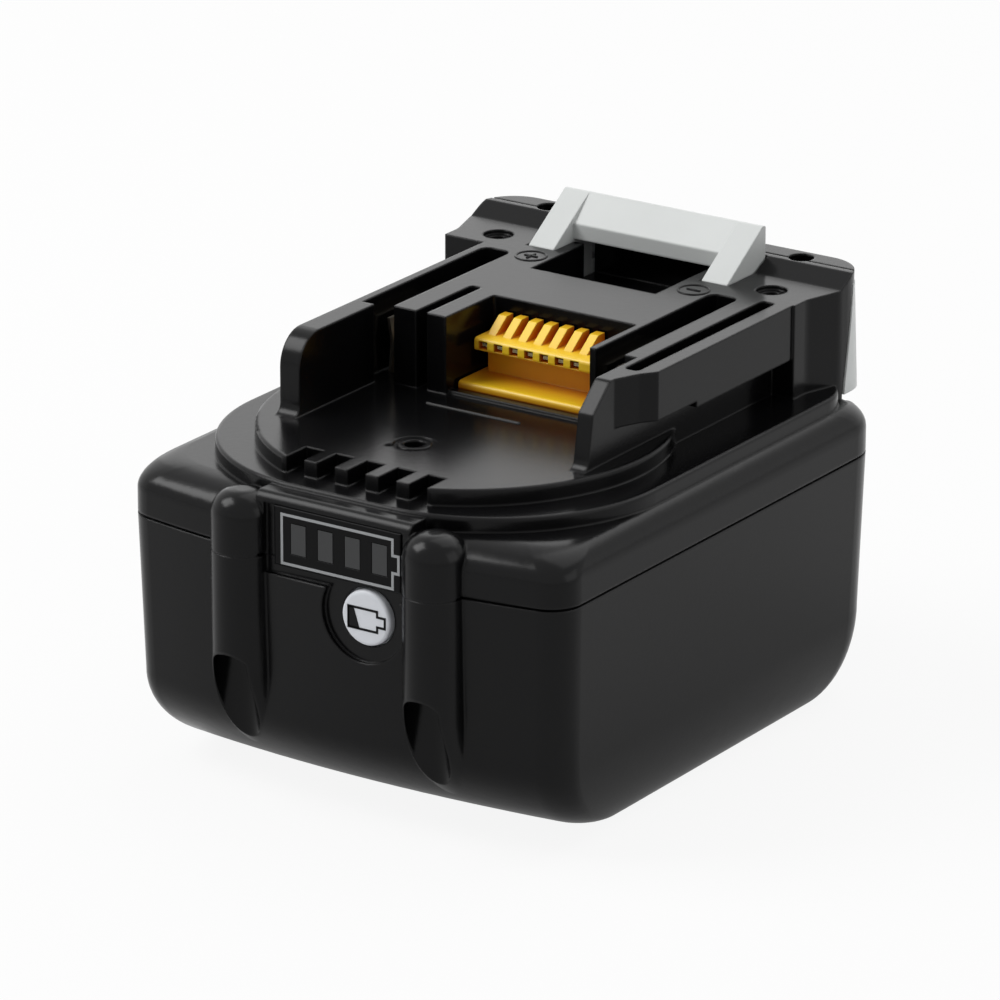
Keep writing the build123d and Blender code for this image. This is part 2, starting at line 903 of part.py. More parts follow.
def upper_inside():
    """The space under the upper case's skin."""
    body = cap_form(wall, seam_height - overrun) - rear_keep_out()
    start = body_top - cap_rounding_height
    under = Pos(0, 0, start) * extrude(platform_outline(wall), platform_height - wall - start)
    under += rod(0, deck_center, start, deck_skin, deck_radius - wall)
    side = channel_left_inner - plate_skin
    rear = window_front + plate_skin
    high = plate_height - plate_skin
    well = window_floor - plate_skin
    under += box(-left_outer + wall, right_rail_outer - wall, deck_center, hood_front, start, deck_skin)
    under += box(-side, side, bay_rear + plate_skin, window_front - plate_skin, start, high)
    under += box(-side, side, bay_rear + plate_skin, wing_front - plate_skin, start, well)
    wing = wing_outer + plate_skin
    under += both_sides(box(wing, hood_half_width - wall, hood_front + wall,
                            pocket_front - pocket_wall, start, hood_roof_underside - wall))
    under -= rear_keep_out()
    under -= box(-half_case, half_case, deck_center - deck_radius - overrun, notch_rear + wall,
                 platform_height - wall, deck_height)
    return body + under


def bezel():
    """The raised frame round the gauge insert."""
    low = seam_height
    shape = box(recess_left - bezel_margin, gauge_right + bezel_margin, gauge_face,
                platform_front + overrun, low, gauge_top + bezel_margin)
    edge = shape.edges().filter_by(Axis.X).sort_by(Axis.Z)[-2:].sort_by(Axis.Y)[0]
    return fillet(edge, bezel_rounding)


def terminal_slots():
    """The holes in the channel floors for the power terminals."""
    shape = None
    for left, right, _, _, _ in channel_places()[:2]:
        margin = terminal_sheet
        cut = box(left + margin, right - margin, terminal_front - fit_gap, terminal_rear + fit_gap,
                  deck_skin - overrun, deck_height + overrun)
        shape = cut if shape is None else shape + cut
    return shape


def seam_recess():
    """The shadow line round the seam and the rebate over the lower case's lip."""
    ring = extrude(case_outline(-overrun), seam_groove) - extrude(case_outline(seam_groove), seam_groove)
    ring = Pos(0, 0, seam_height) * ring
    rebate = extrude(case_outline(wall - lip_thickness - press_gap), lip_height + press_gap)
    rebate -= extrude(case_outline(wall + press_gap), lip_height + press_gap)
    rebate = Pos(0, 0, seam_height) * rebate
    return ring + (rebate - rear_keep_out())


def upper_case():
    shape = cap_form(0, seam_height) + platform() + deck() + rail_block() + hood()
    shape += bezel()
    shape += domed_columns()
    shape -= upper_inside()
    shape += columns(seam_height, front_screw_seat + screw_length + wall) & cap_form(wall / 2, seam_height)
    shape += upper_rear_bosses()
    shape -= seam_recess()
    shape -= latch_pocket()
    shape -= latch_slots()
    shape -= hood_holes()
    shape -= deck_marks()
    shape -= gauge_opening(press_gap)
    shape -= gauge_light_gap()
    shape -= button_well()
    shape -= terminal_slots()
    shape -= connector_seat()
    shape -= screw_bores()
    shape += spring_pins(pocket_floor, spring_pin_height)
    shape += box(gate_line_left, gate_line_right, gate_line_y, gate_line_y + gate_line_size,
                 deck_height - overrun, deck_height + gate_line_size / 2)
    shape += box(-bay_left, bay_right, bar_front, bar_rear, deck_height - overrun,
                 deck_height + bar_rise)
    return shape


def upper_rear_bosses():
    """Bosses under the pocket floor that the rear screws pull on."""
    radius = rear_upper_boss_radius
    boss = rod(rear_screw_x, rear_screw_y, rear_boss_meet, pocket_floor, radius)
    rear = case_length - wall - wall_lean - press_gap
    boss -= box(rear_screw_x - 2 * radius, rear_screw_x + 2 * radius, rear, case_length,
                rear_boss_meet - overrun, seam_height)
    return both_sides(boss)


def spring_pins(start, height):
    """Pins that keep the latch springs in place."""
    pins = rod(spring_x, spring_y, start - overrun, start + height, spring_pin_radius)
    return both_sides(pins)


def connector_seat():
    """The hole in the deck under the connector block."""
    return box(jaw_left + fit_gap, connector_right - end_wall, connector_foot_front - fit_gap,
               connector_rear, deck_skin - overrun, deck_height + overrun)


# Gauge insert, windows, board and button

def gauge_panel():
    shape = box(gauge_left, gauge_right, gauge_face, gauge_face + gauge_thickness,
                gauge_bottom, gauge_top)
    front = shape.faces().sort_by(Axis.Y)[0]
    shape = fillet(front.edges(), gauge_edge_radius / 2)
    for hole in window_blocks(window_gap, -overrun, gauge_thickness + gauge_face + overrun):
        shape -= hole
    return shape


def gauge_windows():
    blocks = window_blocks(0, gauge_face, light_guide_depth)
    return Compound([block.solid() for block in blocks])


def check_button():
    flange_front = wall + press_gap
    face = fillet(rod_y(button_x, button_face, flange_front + press_gap, button_height,
                        button_radius).edges().sort_by(Axis.Y)[0], button_edge_radius)
    flange = rod_y(button_x, flange_front, flange_front + button_flange_thickness,
                   button_height, button_flange_radius)
    return face + flange


def switch_body():
    rear = gauge_board_front()
    half = switch_size / 2
    shape = box(button_x - half, button_x + half, rear - switch_depth, rear,
                button_height - half, button_height + half)
    hole = plunger_radius + press_gap
    return shape - rod_y(button_x, 0, rear - press_gap, button_height, hole)


def switch_plunger():
    front = wall + 2 * press_gap + button_flange_thickness
    rear = gauge_board_front() - press_gap - button_travel - press_gap
    return rod_y(button_x, front, rear, button_height, plunger_radius)


def gauge_board():
    front = gauge_board_front()
    return box(gauge_board_left, gauge_board_right, front, front + gauge_board_thickness,
               gauge_board_bottom, gauge_board_top)


def gauge_leds():
    rear = gauge_board_front()
    middle = (window_bottom + window_top) / 2
    shape = []
    for index in range(window_count):
        x = window_first_x + window_pitch * index
        led = box(x - led_width / 2, x + led_width / 2, rear - led_depth, rear,
                  middle - led_height, middle)
        shape.append(led)
    return Compound([led.solid() for led in shape])


def gauge_cable():
    """A flat cable from the gauge board's back up and over to the main board."""
    rear = gauge_board_front() + gauge_board_thickness
    low = gauge_board_top - 2 * cable_width / 3
    end = board_front + cable_width / 2
    knee = board_front - cable_thickness
    points = [
        (rear, low), (rear, gauge_board_top), (knee - cable_thickness, board_top + cable_thickness),
        (end, board_top + cable_thickness), (end, board_top), (knee, board_top),
        (rear + cable_thickness, gauge_board_top), (rear + cable_thickness, low),
    ]
    return prism_x(cable_x - cable_width / 2, cable_x + cable_width / 2, points)


# Release latch and springs

def panel_form(inset, extra):
    """The rear panel's block, leaning out towards its foot, or the space inside it."""
    lean = (panel_foot_rear - panel_rear) / (panel_top - panel_bottom)
    growth = panel_foot_growth / (panel_top - panel_bottom)
    sections = []
    for level in (panel_bottom - extra, panel_top + extra):
        drop = panel_top - level
        half = panel_half_width + growth * drop - inset
        points, corners = hood_plan(panel_rear + lean * drop - inset, half, inset)
        sections.append(Pos(0, 0, level) * outline(points, corners))
    return loft(sections, ruled=True)


def latch_panel():
    """The rear panel with its wrapped sides and finger ribs."""
    shape = (panel_form(0, 0) - panel_form(panel_wall, overrun)) & parting_cut(0)
    lean = (panel_foot_rear - panel_rear) / (panel_top - panel_bottom)
    for index in range(grip_count):
        height = grip_first + grip_pitch * index
        rear = panel_rear + lean * (panel_top - height)
        shape -= rod_x(-grip_half_width, grip_half_width, rear, height, grip_radius)
    return shape


def latch_hook():
    """The two wings and the crossbar that lock the pack into a tool."""
    bar_bottom = plate_height + bar_gap
    tip = wing_rear - hook_flat
    wing_points = [(wing_front, shelf_bottom), (wing_front, plate_height), (tip, hook_top),
                   (wing_rear, hook_top), (wing_rear, shelf_bottom)]
    eased = ((wing_points[1], hook_edge_radius), (wing_points[2], hook_edge_radius),
             (wing_points[3], hook_edge_radius))
    wings = both_sides(prism_x(wing_inner, wing_outer, wing_points, eased))
    bar_points = [(hook_front, bar_bottom), (hook_front, hook_step), (tip, hook_top),
                  (wing_rear, hook_top), (wing_rear, bar_bottom)]
    eased = ((bar_points[1], hook_edge_radius), (bar_points[2], hook_edge_radius),
             (bar_points[3], hook_edge_radius))
    return wings + prism_x(-wing_inner - overrun, wing_inner + overrun, bar_points, eased)


def release_latch():
    """The hook, the panel, and an arm on each side that joins them and takes its spring."""
    arm = box(wing_inner, shelf_half_width, shelf_front, panel_rear - panel_wall / 2,
              shelf_bottom, shelf_top)
    pin = rod(spring_x, spring_y, shelf_bottom - spring_pin_height, shelf_bottom + overrun,
              spring_pin_radius)
    return latch_panel() + latch_hook() + both_sides(arm + pin)


def latch_spring(x):
    """A compression spring, one unbroken tube from the pocket floor to the shelf."""
    low = pocket_floor + spring_end_gap + spring_wire_radius
    high = shelf_bottom - spring_end_gap - spring_wire_radius
    pitch = (high - low) / spring_turns
    path = Pos(x, spring_y, low) * Helix(pitch, high - low, spring_radius)
    start = path @ 0
    section = Plane(origin=start, z_dir=path % 0) * Circle(spring_wire_radius)
    return sweep(section, path=path)


def spring_self_gap():
    """The least clear distance between neighbouring turns, measured on points."""
    low = pocket_floor + spring_end_gap + spring_wire_radius
    high = shelf_bottom - spring_end_gap - spring_wire_radius
    steps = 48
    count = spring_turns * steps
    points = []
    for index in range(count + 1):
        turn = 2 * math.pi * index / steps
        height = low + (high - low) * index / count
        points.append((spring_radius * math.cos(turn), spring_radius * math.sin(turn), height))
    least = min(
        math.dist(points[first], points[second])
        for first in range(0, count, steps // 8)
        for second in range(first + steps // 2, count + 1)
    )
    return least - 2 * spring_wire_radius


# Cells, frames, strips and sheets

def cell_places():
    """Every cell's row, y and z, row by row."""
    return [(row, y, z) for row, y in enumerate(row_ys) for z in layer_zs]


def plus_side(row):
    """The side on which a row's positive ends lie: -1 is left, 1 is right."""
    return -1 if row % 2 == 0 else 1


def cell(row, y, z):
    """A round cell with a stepped positive end and a crimp groove."""
    side = plus_side(row)
    can_end = half_cell - cell_cap_height
    body = rod_x(-half_cell, can_end, y, z, cell_radius)
    body = fillet(body.edges().filter_by(GeomType.CIRCLE), cell_edge_radius)
    groove = Pos(can_end - cell_groove_place, y, z) * Rot(0, 90, 0) * Torus(
        cell_radius, cell_groove_radius)
    body = body - groove + rod_x(can_end - overrun, half_cell, y, z, cell_cap_radius)
    return body if side > 0 else mirrored(body)


def cell_rings():
    """Insulating rings on the shoulders round the positive ends."""
    shape = []
    start = half_cell - cell_cap_height
    for row, y, z in cell_places():
        ring = rod_x(start, start + ring_thickness, y, z, ring_outer - cell_edge_radius)
        ring -= rod_x(start - overrun, half_cell, y, z, ring_bore)
        shape.append(ring if plus_side(row) > 0 else mirrored(ring))
    return Compound([ring.solid() for ring in shape])


def pack_rectangle(margin):
    """The rounded side view of all the cells, as (y, z) points and corner roundings."""
    front, rear = frame_front + margin, frame_rear - margin
    low, high = frame_bottom + margin, frame_top - margin
    points = [(front, low), (rear, low), (rear, high), (front, high)]
    return points, [(point, frame_radius - margin) for point in points]


def cell_frame(side):
    """A moulded frame that holds one end of all the cells."""
    points, corners = pack_rectangle(0)
    shape = prism_x(half_cell - frame_depth, half_cell, points, corners)
    for end in (0, -1):
        shape = chamfer(shape.faces().sort_by(Axis.X)[end].outer_wire().edges(), frame_ease_radius)
    for y in row_ys:
        for z in layer_zs:
            shape -= rod_x(half_cell - frame_depth - overrun, half_cell + overrun, y, z,
                           cell_radius + press_gap)
    for y in stand_ys:
        shape += rod(stand_x, y, frame_top - frame_margin, board_bottom, stand_radius)
        shape -= rod(stand_x, y, board_top - board_screw_length - fit_gap, board_bottom + overrun,
                     board_screw_radius + press_gap)
    return shape if side > 0 else mirrored(shape)


def bus_strip(side, rows):
    """A welded strip over the ends of one or two rows of cells."""
    ys = [row_ys[row] for row in rows]
    front, rear = ys[0] - strip_half_width, ys[-1] + strip_half_width
    low, high = layer_zs[0] - strip_half_width, layer_zs[-1] + strip_half_width
    points = [(front, low), (rear, low), (rear, high), (front, high)]
    rounded = [(point, strip_corner_radius) for point in points]
    shape = prism_x(half_cell, half_cell + strip_thickness, points, rounded)
    for y in ys:
        for z in layer_zs:
            shape -= box(half_cell - overrun, half_cell + strip_thickness + overrun,
                         y - strip_slit_width / 2, y + strip_slit_width / 2,
                         z - strip_slit_length / 2, z + strip_slit_length / 2)
    return shape, side


def end_tab(row):
    """The tongue that takes a strip's current over the frame to the board."""
    y = row_ys[row]
    outer = half_cell + strip_thickness
    low = layer_zs[-1]
    inner = board_half_width - strip_thickness
    half = tab_width / 2
    shape = box(half_cell, outer, y - half, y + half, low, frame_top + strip_thickness)
    shape += box(inner, outer, y - half, y + half, frame_top, frame_top + strip_thickness)
    return shape + box(inner - strip_thickness, inner, y - half, y + half, frame_top, board_bottom)


def placed(strip):
    shape, side = strip
    return shape if side > 0 else mirrored(shape)


def end_strip(rows):
    shape, side = bus_strip(-1, rows)
    return placed((shape + end_tab(rows[0]), side))


def insulator_sheet(side):
    points, corners = pack_rectangle(sheet_margin)
    start = half_cell + strip_thickness
    shape = prism_x(start, start + sheet_thickness, points, corners)
    return shape if side > 0 else mirrored(shape)


def foam_pads():
    start = half_cell + strip_thickness + sheet_thickness
    middle = (row_ys[0] + row_ys[-1]) / 2
    pad = box(start, start + pad_thickness, middle - pad_length / 2, middle + pad_length / 2,
              pad_bottom, pad_top)
    return Compound([pad.solid(), mirrored(pad).solid()])


# Main board, terminals and connector

def main_board():
    half = board_half_width
    points = [
        (-half + board_chamfer, board_front), (half - board_chamfer, board_front),
        (half, board_front + board_chamfer), (half, board_rear), (-half, board_rear),
        (-half, board_front + board_chamfer),
    ]
    shape = prism_z(board_bottom, board_top, points)
    for x in (-stand_x, stand_x):
        for y in stand_ys:
            shape -= rod(x, y, board_bottom - overrun, board_top + overrun,
                         board_screw_radius + press_gap)
    return shape


def board_screws():
    shape = []
    for x in (-stand_x, stand_x):
        for y in stand_ys:
            screw = rod(x, y, board_top, board_top + board_screw_head_height, board_screw_head_radius)
            screw += rod(x, y, board_top - board_screw_length, board_top, board_screw_radius)
            shape.append(screw)
    return Compound([screw.solid() for screw in shape])


def board_chips():
    shape = []
    length = board_rear - board_front
    for (width, depth), (across, along) in zip(chip_sides, chip_place_shares):
        x = across * channel_left_inner
        y = board_front + along * length
        chip = box(x - width / 2, x + width / 2, y - depth / 2, y + depth / 2,
                   board_top, board_top + chip_height)
        shape.append(chip)
    return Compound([chip.solid() for chip in shape])


def board_fuse():
    return box(fuse_x - fuse_width / 2, fuse_x + fuse_width / 2, fuse_y - fuse_length / 2,
               fuse_y + fuse_length / 2, board_top, board_top + fuse_height)


def thermistor():
    """A bead on the front upper cell row, with its lead up to the board."""
    y = stand_ys[0]
    z = frame_top - probe_radius
    bead = rod_x(-probe_length / 2, probe_length / 2, y, z, probe_radius)
    return bead + rod(0, y, z, board_bottom, lead_radius)


def terminal(middle):
    """A pair of sprung blades joined by a foot on the main board."""
    inner = terminal_spread - terminal_sheet
    points = [
        (terminal_spread, board_top), (terminal_spread, terminal_bend_height),
        (terminal_pinch + terminal_sheet, terminal_pinch_height),
        (terminal_lip + terminal_sheet, terminal_top), (terminal_lip, terminal_top),
        (terminal_pinch, terminal_pinch_height), (inner, terminal_bend_height),
        (inner, board_top),
    ]
    blade = prism_y(terminal_front, terminal_rear, points)
    foot = box(-inner - overrun, inner + overrun, terminal_front, terminal_rear,
               board_top, board_top + terminal_sheet)
    shape = both_sides(blade) + (foot & box(-terminal_spread, terminal_spread, terminal_front,
                                            terminal_rear, board_top, board_top + terminal_sheet))
    return Pos(middle, 0, 0) * shape


def contact_xs():
    return [contact_first_x + contact_pitch * index for index in range(contact_count)]


def slot_box(x, width, height, front, rear):
    middle = (jaw_bottom + jaw_lip_top) / 2
    return box(x - width / 2, x + width / 2, front, rear, middle - height / 2, middle + height / 2)


def connector_block():
    """The signal connector: shelf, rear web, slotted jaw and its fins."""
    low = connector_shelf_top - connector_shelf_thickness
    shelf = box(shelf_left, connector_right, connector_shelf_front, connector_rear,
                low, connector_shelf_top)
    edge = shelf.edges().filter_by(Axis.X).group_by(Axis.Y)[0]
    shape = fillet(edge, jaw_edge_radius)
    shape += box(jaw_left, connector_right, connector_foot_front, connector_rear, low, jaw_bottom)
    jaw_points = [(jaw_front, jaw_bottom), (jaw_front, jaw_lip_top), (fin_front, jaw_lip_top),
                  (jaw_slope_end, jaw_top), (connector_rear, jaw_top), (connector_rear, jaw_bottom)]
    rounded = (((jaw_front, jaw_bottom), jaw_edge_radius), ((jaw_front, jaw_lip_top), jaw_edge_radius))
    shape += prism_x(jaw_left, connector_right, jaw_points, rounded)
    shape += box(connector_right - end_wall, connector_right, jaw_front + jaw_edge_radius,
                 connector_rear, low, jaw_bottom + jaw_edge_radius)
    for left, right in fin_gaps():
        shape -= box(left, right, fin_front, connector_rear + overrun, jaw_lip_top,
                     jaw_top + overrun)
    for x in contact_xs():
        shape -= slot_box(x, contact_slot_width, contact_slot_height, jaw_front - overrun,
                          jaw_front + contact_slot_depth)
    shape += box(jaw_left + 2 * fit_gap, connector_right - end_wall - fit_gap, connector_foot_front,
                 connector_rear - fit_gap, board_top, connector_shelf_top)
    return shape


def fin_gaps():
    """Left and right of each gap between the connector's fins."""
    xs = contact_xs()
    gaps = [(jaw_left - overrun, xs[0] - fin_width / 2)]
    for first, second in zip(xs[:-1], xs[1:]):
        gaps.append((first + fin_width / 2, second - fin_width / 2))
    gaps.append((xs[-1] + fin_width / 2, connector_right - end_wall))
    return gaps


def signal_contacts():
    shape = []
    for x in contact_xs():
        shape.append(slot_box(x, contact_width, contact_height, jaw_front + contact_set_back,
                              jaw_front + contact_slot_depth))
    return Compound([pin.solid() for pin in shape])


def all_parts():
    parts = {
        "lower_case": lower_case(),
        "upper_case": upper_case(),
        "gauge_panel": gauge_panel(),
        "gauge_windows": gauge_windows(),
        "check_button": check_button(),
        "switch_body": switch_body(),
        "switch_plunger": switch_plunger(),
        "gauge_board": gauge_board(),
        "gauge_leds": gauge_leds(),
        "gauge_cable": gauge_cable(),
        "release_latch": release_latch(),
        "latch_spring_left": latch_spring(-spring_x),
        "latch_spring_right": latch_spring(spring_x),
        "connector_block": connector_block(),
        "signal_contacts": signal_contacts(),
        "terminal_positive": terminal(-(channel_left_outer + channel_left_inner) / 2),
        "terminal_negative": terminal((channel_right_outer + channel_right_inner) / 2),
        "main_board": main_board(),
        "board_chips": board_chips(),
        "board_fuse": board_fuse(),
        "thermistor": thermistor(),
        "cell_insulator_rings": cell_rings(),
        "cell_frame_left": cell_frame(-1),
        "cell_frame_right": cell_frame(1),
        "bus_positive": end_strip([0]),
        "bus_negative": end_strip([3]),
        "bus_mid_1": placed(bus_strip(1, [0, 1])),
        "bus_mid_2": placed(bus_strip(-1, [1, 2])),
        "bus_mid_3": placed(bus_strip(1, [2, 3])),
        "insulator_sheet_left": insulator_sheet(-1),
        "insulator_sheet_right": insulator_sheet(1),
        "foam_pads": foam_pads(),
        "case_screws": case_screws(),
        "board_screws": board_screws(),
    }
    for number, (row, y, z) in enumerate(cell_places(), start=1):
        parts[f"cell_{number}"] = cell(row, y, z)
    return parts


def main():
    os.makedirs("parts", exist_ok=True)
    print("least gap between spring turns:", round(spring_self_gap(), 3))
    for name, shape in all_parts().items():
        export_step(Pos(0, -pack_middle, 0) * shape, f"parts/{name}.step")


main()
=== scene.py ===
import json
import math

import bmesh
import bpy
from mathutils import Matrix, Vector


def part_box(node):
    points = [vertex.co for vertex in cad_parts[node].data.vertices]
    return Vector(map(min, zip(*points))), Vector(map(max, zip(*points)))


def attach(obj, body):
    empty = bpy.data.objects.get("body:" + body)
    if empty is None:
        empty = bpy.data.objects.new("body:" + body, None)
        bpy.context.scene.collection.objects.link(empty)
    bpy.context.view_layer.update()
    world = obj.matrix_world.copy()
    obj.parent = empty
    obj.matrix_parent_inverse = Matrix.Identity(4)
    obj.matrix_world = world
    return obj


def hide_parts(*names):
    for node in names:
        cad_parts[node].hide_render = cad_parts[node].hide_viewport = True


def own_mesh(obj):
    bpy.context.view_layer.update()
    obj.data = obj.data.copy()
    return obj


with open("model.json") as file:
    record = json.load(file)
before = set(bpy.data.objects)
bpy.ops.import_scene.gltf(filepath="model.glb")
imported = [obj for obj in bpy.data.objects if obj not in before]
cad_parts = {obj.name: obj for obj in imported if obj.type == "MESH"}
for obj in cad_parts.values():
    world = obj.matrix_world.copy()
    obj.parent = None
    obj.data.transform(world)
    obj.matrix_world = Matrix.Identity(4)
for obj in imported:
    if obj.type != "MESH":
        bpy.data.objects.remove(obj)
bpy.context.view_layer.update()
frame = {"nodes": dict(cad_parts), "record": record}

# Places on the pack are in millimetres: X from its middle, Y from the middle of the gauge face, and Z from
# the underside.
MM = 0.001
MIDDLE_Y = 45.45

# Camera: its place on the pack's scale, the directions to its right and to its back, sensor and lens
CAMERA_PLACE = (537.4, -759.6, 382.8)
CAMERA_RIGHT = (0.8308, 0.5565, 0.0019)
CAMERA_BACK = (0.5232, -0.7822, 0.3383)
CAMERA_NEAR = 0.05
CAMERA_FAR = 20.0
SENSOR_WIDTH = 36.0
LENS = 254.95

# Lamps: name, place in metres, width in metres, and power in watts
LAMPS = (
    ("key_light", (-0.65, -0.38, 0.85), 0.6, 8.0),
    ("top_light", (0.1, 0.5, 0.9), 0.9, 3.0),
    ("back_light", (-0.6, 0.9, 0.42), 0.7, 0.9),
    ("side_light", (0.9, 0.1, 0.35), 0.6, 1.0),
)
LAMP_AIM = (0, 0, 0.03)

# World and floor. The glow share is how much plain white the camera sees on the floor, so that only a faint
# shadow is left, and the gloss share is how much of it a glossy surface reflects.
WHITE = (1, 1, 1, 1)
WHITE_STRENGTH = 1.0
WORLD_STRENGTH = 0.35
FLOOR_WIDTH = 6.0
FLOOR_DROP = 0.0002
FLOOR_TONE = 0.8
FLOOR_GLOW_SHARE = 0.9
FLOOR_GLOSS_SHARE = 0.3

# Surfaces: blotches of tone and gloss, a fine grain, worn edges and painted shade in hollows. Scales are
# in waves a metre, and lengths in metres.
BLOTCH_SCALE = 55.0
BLOTCH_DETAIL = 4.0
GLOSS_CHANGE = 0.03
GRAIN_SCALE = 900.0
FINE_GRAIN = 1500.0
GRAIN_DETAIL = 3.0
GRAIN_DEPTH = 0.0002
DARK_SHARE = 0.9
LIGHT_SHARE = 1.1
WORN_SHARE = 1.25
WORN_LIFT = 0.004
WORN_TURN = 0.7
EDGE_SAMPLES = 4
SHADE_SAMPLES = 8
SHADE_REACH = 0.005

# Colours that two materials share, and the painted shade colour for the connector's hollows
PACK_BLACK = (0.0025, 0.0025, 0.0028)
PLAIN_BLACK = (0.02, 0.02, 0.02)
PLAIN_WHITE = (0.75, 0.75, 0.72)
CONNECTOR_PAINTED_SHADE = (0.5, 0.045, 0.001)

# The finish of each material, as the arguments of moulded
FINISHES = {
    "case_black": dict(color=PACK_BLACK, rough=0.2, grain=0.05, grain_scale=FINE_GRAIN, edge=0.0005,
                       specular=0.17),
    "gauge_black": dict(color=PACK_BLACK, rough=0.3, grain=0.04, grain_scale=FINE_GRAIN, edge=0.0002,
                        specular=0.1),
    "window_smoke": dict(color=(0.018, 0.019, 0.02), rough=0.3, grain=0.03, grain_scale=700.0,
                         gloss_change=0.05),
    "button_white": dict(color=(0.7, 0.72, 0.76), rough=0.42, grain=0.06, edge=0.0003),
    "part_black": dict(color=PLAIN_BLACK, rough=0.5, grain=0.1),
    "plunger_white": dict(color=(0.7, 0.7, 0.68), rough=0.4, grain=0.05),
    "board_green": dict(color=(0.01, 0.12, 0.05), rough=0.4, grain=0.1, grain_scale=500.0),
    "led_white": dict(color=(0.75, 0.75, 0.68), rough=0.2, grain=0.03),
    "cable_grey": dict(color=(0.35, 0.36, 0.37), rough=0.5, grain=0.1),
    "latch_grey": dict(color=(0.64, 0.66, 0.65), rough=0.42, grain=0.06, grain_scale=FINE_GRAIN,
                       edge=0.0004),
    "spring_steel": dict(color=(0.6, 0.6, 0.6), rough=0.25, grain=0.04, metallic=1.0),
    "connector_yellow": dict(color=(1.0, 0.62, 0.02), rough=0.33, grain=0.05, grain_scale=1200.0,
                             edge=0.0002),
    "contact_brass": dict(color=(0.85, 0.7, 0.4), rough=0.25, grain=0.05, metallic=1.0),
    # terminal_metal: a dull metal colour, darkened below plated metal as painted shade for the channels it
    # stands in
    "terminal_metal": dict(color=(0.4, 0.36, 0.3), rough=0.35, grain=0.08, metallic=1.0),
    "fuse_white": dict(color=PLAIN_WHITE, rough=0.5, grain=0.1),
    "ring_white": dict(color=PLAIN_WHITE, rough=0.6, grain=0.1),
    "frame_black": dict(color=PLAIN_BLACK, rough=0.5, grain=0.15),
    "strip_nickel": dict(color=(0.6, 0.58, 0.54), rough=0.35, grain=0.1, metallic=1.0),
    "sheet_grey": dict(color=(0.2, 0.22, 0.21), rough=0.7, grain=0.2),
    "foam_grey": dict(color=(0.06, 0.06, 0.06), rough=0.9, grain=0.6, grain_scale=600.0),
    "screw_steel": dict(color=(0.1, 0.1, 0.105), rough=0.35, grain=0.1, metallic=1.0),
    "cell_sleeve": dict(color=(0.06, 0.25, 0.23), rough=0.35, grain=0.05),
    "print_grey": dict(color=(0.32, 0.33, 0.34), rough=0.5, grain=0.05),
    "print_dark": dict(color=(0.003, 0.003, 0.0035), rough=0.5, grain=0.05, specular=0.15),
}

# Printed signs: a battery's outline on the gauge panel, and one on the button with a little charge
PRINT_HEIGHT = 0.06
PRINT_SINK = 0.04
GAUGE_BATTERY = dict(left=-7.7, right=11.2, tip=12.2, low=37.35, high=44.65, tip_low=39.7, tip_high=42.3)
GAUGE_LINE = 0.4
BUTTON_BATTERY = dict(left=3.7, right=8.6, tip=9.9, low=30.3, high=33.4, tip_low=31.1, tip_high=32.6)
BUTTON_LINE = 0.34
BUTTON_FILL_LOW = 5.6
BUTTON_FILL_HIGH = 4.6

# Moulded polarity marks on the plate
PLATE_TOP = 62.16
MARK_RADIUS = 2.3
MARK_BAND = 0.22
MARK_HEIGHT = 0.16
MARK_ARM = 1.15
MARK_TOP_SHARE = 0.72
MARK_STEPS = 48
MARK_SIDES = 12
PLUS_PLACE = (-14.1, 73.1)
MINUS_PLACE = (14.5, 72.9)

# Latch springs: wound wire with closed end turns, between the pocket's floor and the latch's arms
SPRING_PLACES = (("spring_left", -22.0), ("spring_right", 22.0))
SPRING_Y = 86.15
SPRING_LOW = 39.65
SPRING_HIGH = 55.25
SPRING_RADIUS = 1.75
SPRING_WIRE = 0.3
SPRING_TURNS = 8
SPRING_END_TURNS = 1.0
SPRING_EASE_TURNS = 0.5
SPRING_CLOSED_PITCH = 0.66
SPRING_STEPS = 36
SPRING_SIDES = 12

scene = bpy.context.scene
nodes = frame["nodes"]


def place(x, y, z):
    """A point of the pack, in metres in the shared frame."""
    return Vector((x, y - MIDDLE_Y, z)) * MM


def front_of(node):
    """Where a CAD node's front face lies, in the pack's own Y."""
    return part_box(node)[0].y / MM + MIDDLE_Y


# Camera at the photograph's view
def make_camera():
    data = bpy.data.cameras.new("camera")
    data.sensor_width = SENSOR_WIDTH
    data.lens = LENS
    data.clip_start = CAMERA_NEAR
    data.clip_end = CAMERA_FAR
    camera = bpy.data.objects.new("camera", data)
    scene.collection.objects.link(camera)
    right = Vector(CAMERA_RIGHT).normalized()
    back = Vector(CAMERA_BACK)
    back = (back - right * back.dot(right)).normalized()
    turn = Matrix((right, back.cross(right), back)).transposed()
    camera.matrix_world = Matrix.Translation(place(*CAMERA_PLACE)) @ turn.to_4x4()
    scene.camera = camera


# Light, floor and backdrop
def make_lamps():
    for name, location, width, power in LAMPS:
        data = bpy.data.lights.new(name, "AREA")
        data.shape = "SQUARE"
        data.size = width
        data.energy = power
        lamp = bpy.data.objects.new(name, data)
        scene.collection.objects.link(lamp)
        lamp.location = location
        direction = Vector(LAMP_AIM) - Vector(location)
        lamp.rotation_euler = direction.to_track_quat("-Z", "Y").to_euler()


